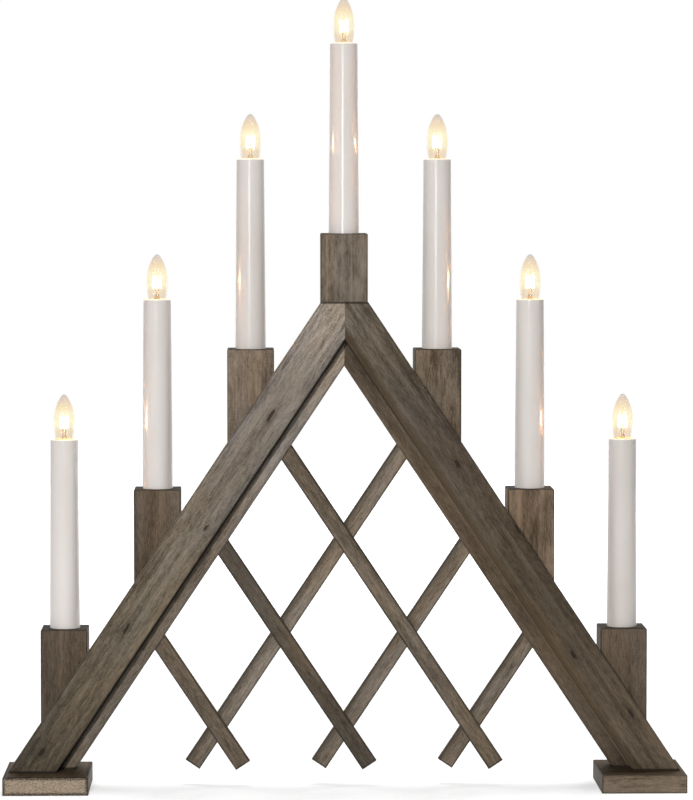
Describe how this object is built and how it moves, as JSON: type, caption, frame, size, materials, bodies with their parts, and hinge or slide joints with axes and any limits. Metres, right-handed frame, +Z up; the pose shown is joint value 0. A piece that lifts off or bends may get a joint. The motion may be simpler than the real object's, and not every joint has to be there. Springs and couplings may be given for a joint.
{
  "type": "electric candle arch",
  "caption": "Triangular timber candle arch with a slatted lattice and stepped blocks that carry electric candle tubes with flame bulbs that unscrew.",
  "frame": {"origin": "on the floor, midway between the two feet, in the glue plane between the rafters and the battens", "axes": "+Z up, the front with the rafters faces -Y, +X is to the right seen from the front"},
  "size_m": [0.4646, 0.07, 0.54],
  "materials": {
    "rafter_wood": "grey-brown stain",
    "batten_wood": "grey-brown stain",
    "foot_wood": "grey-brown stain",
    "block_wood": "grey-brown stain",
    "slat_wood": "grey-brown stain",
    "candle_tube": "gloss ivory",
    "lampholder": "matt",
    "socket_brass": "rolled",
    "wire_insulation": "satin",
    "pin_steel": "drawn",
    "screw_steel": "zinc",
    "bulb_glass": "clear",
    "bulb_cap": "rolled",
    "bulb_tip": "vitrified",
    "filament": "lit wire"
  },
  "bodies": {
    "frame": {"left_rafter": "rafter_wood", "right_rafter": "rafter_wood", "left_batten": "batten_wood", "right_batten": "batten_wood", "left_foot": "foot_wood", "right_foot": "foot_wood", "candle_block_1": "block_wood", "candle_block_2": "block_wood", "candle_block_3": "block_wood", "candle_block_4": "block_wood", "candle_block_5": "block_wood", "candle_block_6": "block_wood", "candle_block_7": "block_wood", "candle_tube_1": "candle_tube", "candle_tube_2": "candle_tube", "candle_tube_3": "candle_tube", "candle_tube_4": "candle_tube", "candle_tube_5": "candle_tube", "candle_tube_6": "candle_tube", "candle_tube_7": "candle_tube", "front_slat_1": "slat_wood", "front_slat_2": "slat_wood", "front_slat_3": "slat_wood", "rear_slat_1": "slat_wood", "rear_slat_2": "slat_wood", "rear_slat_3": "slat_wood", "lampholders": "lampholder", "socket_shells": "socket_brass", "socket_contacts": "socket_brass", "series_wires": "wire_insulation", "lattice_pins": "pin_steel", "foot_screws": "screw_steel"},
    "bulb_1_lift": {"bulb_tip_1": "bulb_tip"},
    "bulb_1": {"bulb_globe_1": "bulb_glass", "bulb_cap_1": "bulb_cap", "bulb_filament_1": "filament"},
    "bulb_2_lift": {"bulb_tip_2": "bulb_tip"},
    "bulb_2": {"bulb_globe_2": "bulb_glass", "bulb_cap_2": "bulb_cap", "bulb_filament_2": "filament"},
    "bulb_3_lift": {"bulb_tip_3": "bulb_tip"},
    "bulb_3": {"bulb_globe_3": "bulb_glass", "bulb_cap_3": "bulb_cap", "bulb_filament_3": "filament"},
    "bulb_4_lift": {"bulb_tip_4": "bulb_tip"},
    "bulb_4": {"bulb_globe_4": "bulb_glass", "bulb_cap_4": "bulb_cap", "bulb_filament_4": "filament"},
    "bulb_5_lift": {"bulb_tip_5": "bulb_tip"},
    "bulb_5": {"bulb_globe_5": "bulb_glass", "bulb_cap_5": "bulb_cap", "bulb_filament_5": "filament"},
    "bulb_6_lift": {"bulb_tip_6": "bulb_tip"},
    "bulb_6": {"bulb_globe_6": "bulb_glass", "bulb_cap_6": "bulb_cap", "bulb_filament_6": "filament"},
    "bulb_7_lift": {"bulb_tip_7": "bulb_tip"},
    "bulb_7": {"bulb_globe_7": "bulb_glass", "bulb_cap_7": "bulb_cap", "bulb_filament_7": "filament"}
  },
  "joints": [
    {"name": "bulb_1_rise", "type": "slide", "parent": "frame", "child": "bulb_1_lift", "axis": [0, 0, 1], "range_m": [0, 0.00726]},
    {"name": "bulb_1_unscrew", "type": "hinge", "parent": "bulb_1_lift", "child": "bulb_1", "pos_m": [-0.192, 0.016, 0.2302], "axis": [0, 0, 1], "range_deg": [0, 1440]},
    {"name": "bulb_2_rise", "type": "slide", "parent": "frame", "child": "bulb_2_lift", "axis": [0, 0, 1], "range_m": [0, 0.00726]},
    {"name": "bulb_2_unscrew", "type": "hinge", "parent": "bulb_2_lift", "child": "bulb_2", "pos_m": [-0.128, 0.016, 0.3262], "axis": [0, 0, 1], "range_deg": [0, 1440]},
    {"name": "bulb_3_rise", "type": "slide", "parent": "frame", "child": "bulb_3_lift", "axis": [0, 0, 1], "range_m": [0, 0.00726]},
    {"name": "bulb_3_unscrew", "type": "hinge", "parent": "bulb_3_lift", "child": "bulb_3", "pos_m": [-0.064, 0.016, 0.4222], "axis": [0, 0, 1], "range_deg": [0, 1440]},
    {"name": "bulb_4_rise", "type": "slide", "parent": "frame", "child": "bulb_4_lift", "axis": [0, 0, 1], "range_m": [0, 0.00726]},
    {"name": "bulb_4_unscrew", "type": "hinge", "parent": "bulb_4_lift", "child": "bulb_4", "pos_m": [0, 0.016, 0.5012], "axis": [0, 0, 1], "range_deg": [0, 1440]},
    {"name": "bulb_5_rise", "type": "slide", "parent": "frame", "child": "bulb_5_lift", "axis": [0, 0, 1], "range_m": [0, 0.00726]},
    {"name": "bulb_5_unscrew", "type": "hinge", "parent": "bulb_5_lift", "child": "bulb_5", "pos_m": [0.064, 0.016, 0.4222], "axis": [0, 0, 1], "range_deg": [0, 1440]},
    {"name": "bulb_6_rise", "type": "slide", "parent": "frame", "child": "bulb_6_lift", "axis": [0, 0, 1], "range_m": [0, 0.00726]},
    {"name": "bulb_6_unscrew", "type": "hinge", "parent": "bulb_6_lift", "child": "bulb_6", "pos_m": [0.128, 0.016, 0.3262], "axis": [0, 0, 1], "range_deg": [0, 1440]},
    {"name": "bulb_7_rise", "type": "slide", "parent": "frame", "child": "bulb_7_lift", "axis": [0, 0, 1], "range_m": [0, 0.00726]},
    {"name": "bulb_7_unscrew", "type": "hinge", "parent": "bulb_7_lift", "child": "bulb_7", "pos_m": [0.192, 0.016, 0.2302], "axis": [0, 0, 1], "range_deg": [0, 1440]}
  ],
  "couplings": [
    {"joint": "bulb_1_rise", "follows": "bulb_1_unscrew", "m_per_rad": 0.00028871},
    {"joint": "bulb_2_rise", "follows": "bulb_2_unscrew", "m_per_rad": 0.00028871},
    {"joint": "bulb_3_rise", "follows": "bulb_3_unscrew", "m_per_rad": 0.00028871},
    {"joint": "bulb_4_rise", "follows": "bulb_4_unscrew", "m_per_rad": 0.00028871},
    {"joint": "bulb_5_rise", "follows": "bulb_5_unscrew", "m_per_rad": 0.00028871},
    {"joint": "bulb_6_rise", "follows": "bulb_6_unscrew", "m_per_rad": 0.00028871},
    {"joint": "bulb_7_rise", "follows": "bulb_7_unscrew", "m_per_rad": 0.00028871}
  ]
}
